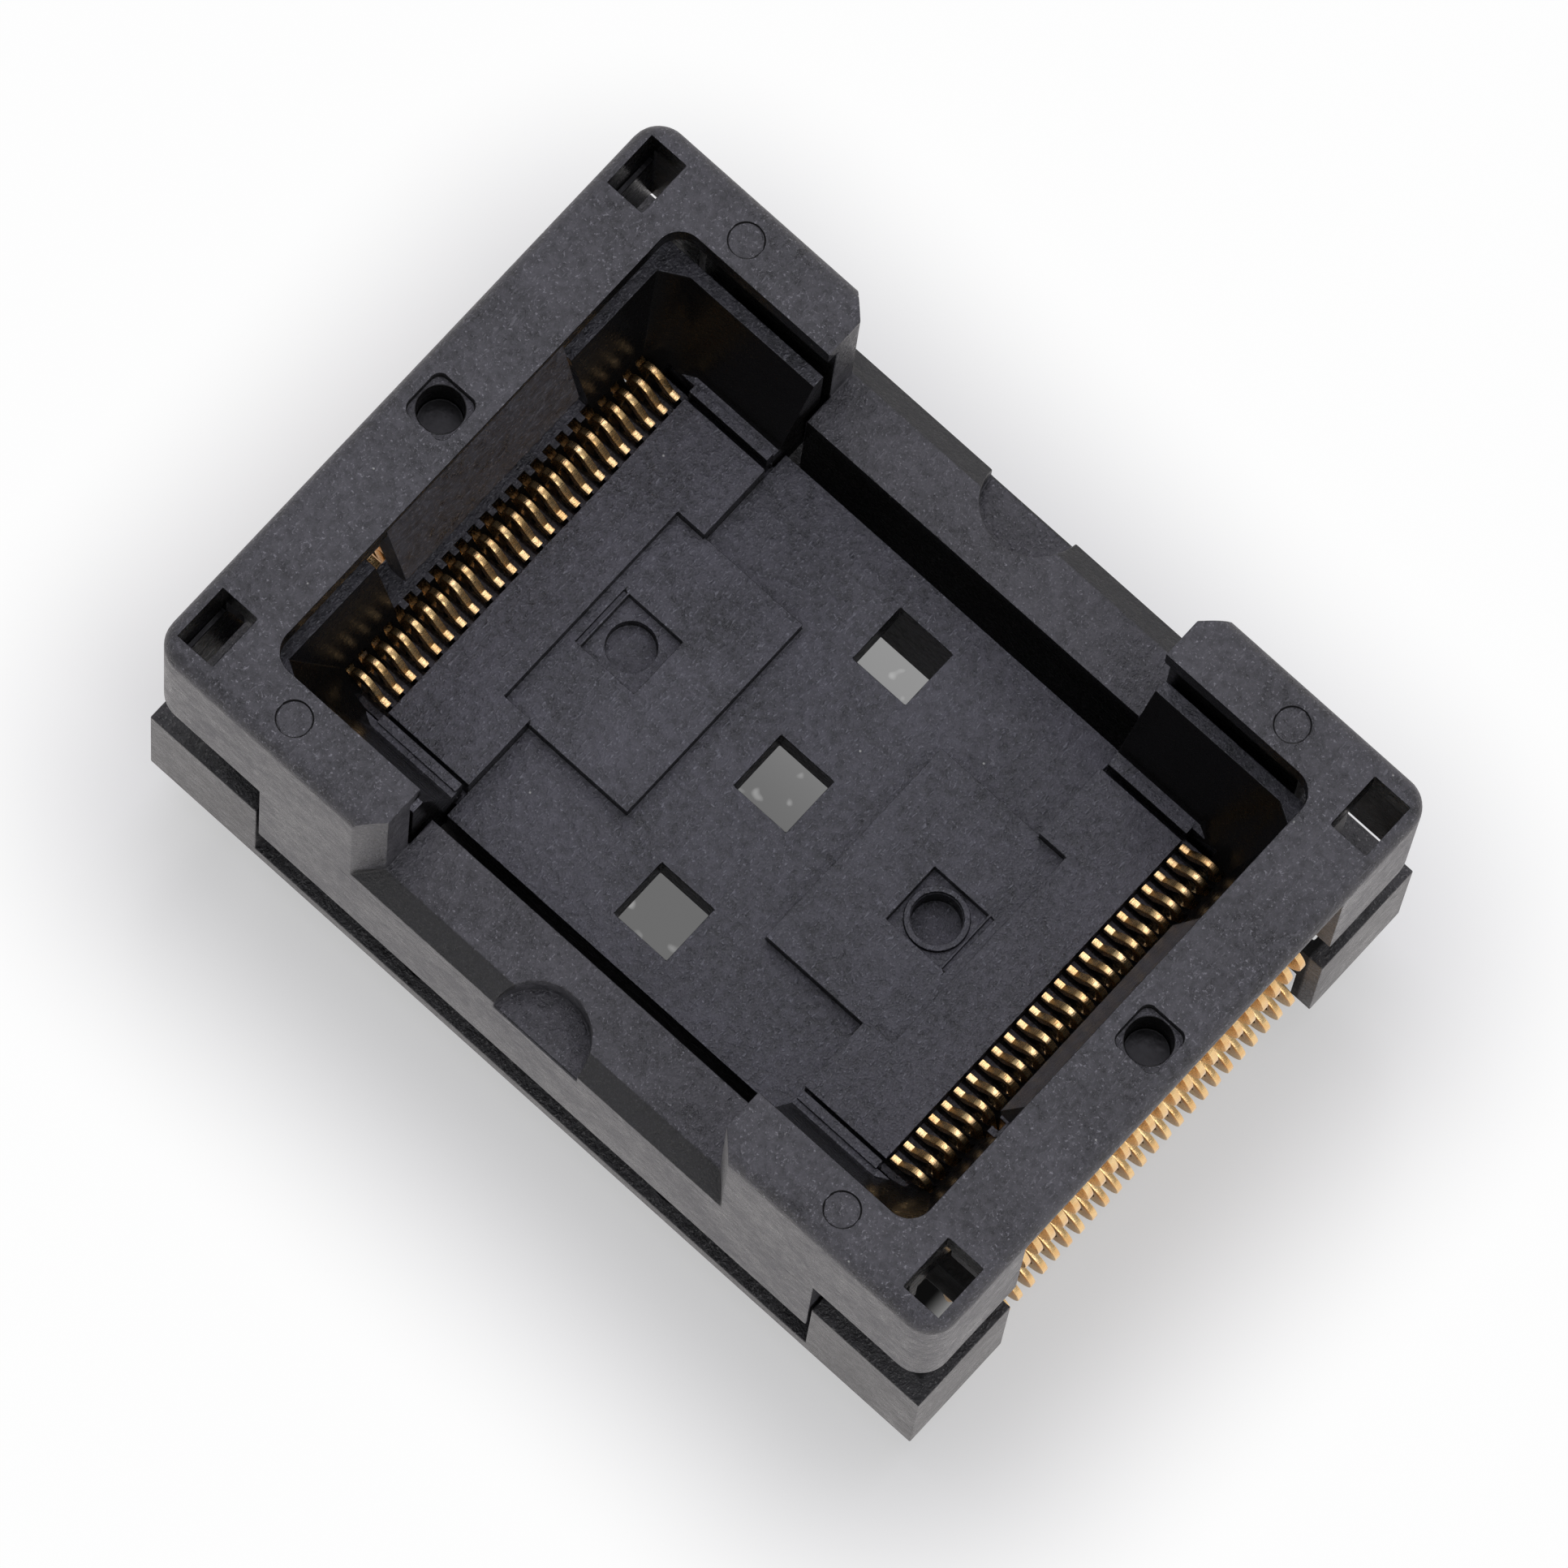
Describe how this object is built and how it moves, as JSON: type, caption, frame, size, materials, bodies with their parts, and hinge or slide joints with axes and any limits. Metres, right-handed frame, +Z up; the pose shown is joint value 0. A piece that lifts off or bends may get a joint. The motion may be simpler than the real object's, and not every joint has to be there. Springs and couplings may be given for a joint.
{
  "type": "ic socket",
  "caption": "Open-top socket for a thin flat chip package: pressing the sprung cover lifts the rows of gold contacts.",
  "frame": {"origin": "middle of the plan, at the height of the solder tail tips", "axes": "+X along the long side, from one contact row to the other; +Y along a contact row; +Z up, out of the cover's window"},
  "size_m": [0.0278, 0.0198, 0.0168],
  "materials": {
    "moulding": "fine-grained glass-filled plastic, satin",
    "base_moulding": "glass-filled plastic, satin",
    "guide_moulding": "glass-filled plastic with a faint flow grain",
    "plated_contact": "gold plate on copper alloy",
    "spring_steel": "drawn spring wire"
  },
  "bodies": {
    "base": {"base": "base_moulding", "package_guide": "guide_moulding", "cover_spring_1": "spring_steel", "cover_spring_2": "spring_steel", "cover_spring_3": "spring_steel", "cover_spring_4": "spring_steel", "contact_left_01": "plated_contact", "contact_left_02": "plated_contact", "contact_left_03": "plated_contact", "contact_left_04": "plated_contact", "contact_left_05": "plated_contact", "contact_left_06": "plated_contact", "contact_left_07": "plated_contact", "contact_left_08": "plated_contact", "contact_left_09": "plated_contact", "contact_left_10": "plated_contact", "contact_left_11": "plated_contact", "contact_left_12": "plated_contact", "contact_left_13": "plated_contact", "contact_left_14": "plated_contact", "contact_left_15": "plated_contact", "contact_left_16": "plated_contact", "contact_left_17": "plated_contact", "contact_left_18": "plated_contact", "contact_left_19": "plated_contact", "contact_left_20": "plated_contact", "contact_left_21": "plated_contact", "contact_left_22": "plated_contact", "contact_left_23": "plated_contact", "contact_left_24": "plated_contact", "contact_right_01": "plated_contact", "contact_right_02": "plated_contact", "contact_right_03": "plated_contact", "contact_right_04": "plated_contact", "contact_right_05": "plated_contact", "contact_right_06": "plated_contact", "contact_right_07": "plated_contact", "contact_right_08": "plated_contact", "contact_right_09": "plated_contact", "contact_right_10": "plated_contact", "contact_right_11": "plated_contact", "contact_right_12": "plated_contact", "contact_right_13": "plated_contact", "contact_right_14": "plated_contact", "contact_right_15": "plated_contact", "contact_right_16": "plated_contact", "contact_right_17": "plated_contact", "contact_right_18": "plated_contact", "contact_right_19": "plated_contact", "contact_right_20": "plated_contact", "contact_right_21": "plated_contact", "contact_right_22": "plated_contact", "contact_right_23": "plated_contact", "contact_right_24": "plated_contact"},
    "cover": {"cover": "moulding"}
  },
  "joints": [
    {"name": "cover_press", "type": "slide", "parent": "base", "child": "cover", "axis": [0, 0, -1], "range_m": [0, 0.0018], "stiffness_N_per_m": 1200, "springref_m": -0.001, "deforming": ["cover_spring_1", "cover_spring_2", "cover_spring_3", "cover_spring_4", "contact_left_01", "contact_left_02", "contact_left_03", "contact_left_04", "contact_left_05", "contact_left_06", "contact_left_07", "contact_left_08", "contact_left_09", "contact_left_10", "contact_left_11", "contact_left_12", "contact_left_13", "contact_left_14", "contact_left_15", "contact_left_16", "contact_left_17", "contact_left_18", "contact_left_19", "contact_left_20", "contact_left_21", "contact_left_22", "contact_left_23", "contact_left_24", "contact_right_01", "contact_right_02", "contact_right_03", "contact_right_04", "contact_right_05", "contact_right_06", "contact_right_07", "contact_right_08", "contact_right_09", "contact_right_10", "contact_right_11", "contact_right_12", "contact_right_13", "contact_right_14", "contact_right_15", "contact_right_16", "contact_right_17", "contact_right_18", "contact_right_19", "contact_right_20", "contact_right_21", "contact_right_22", "contact_right_23", "contact_right_24"]}
  ]
}
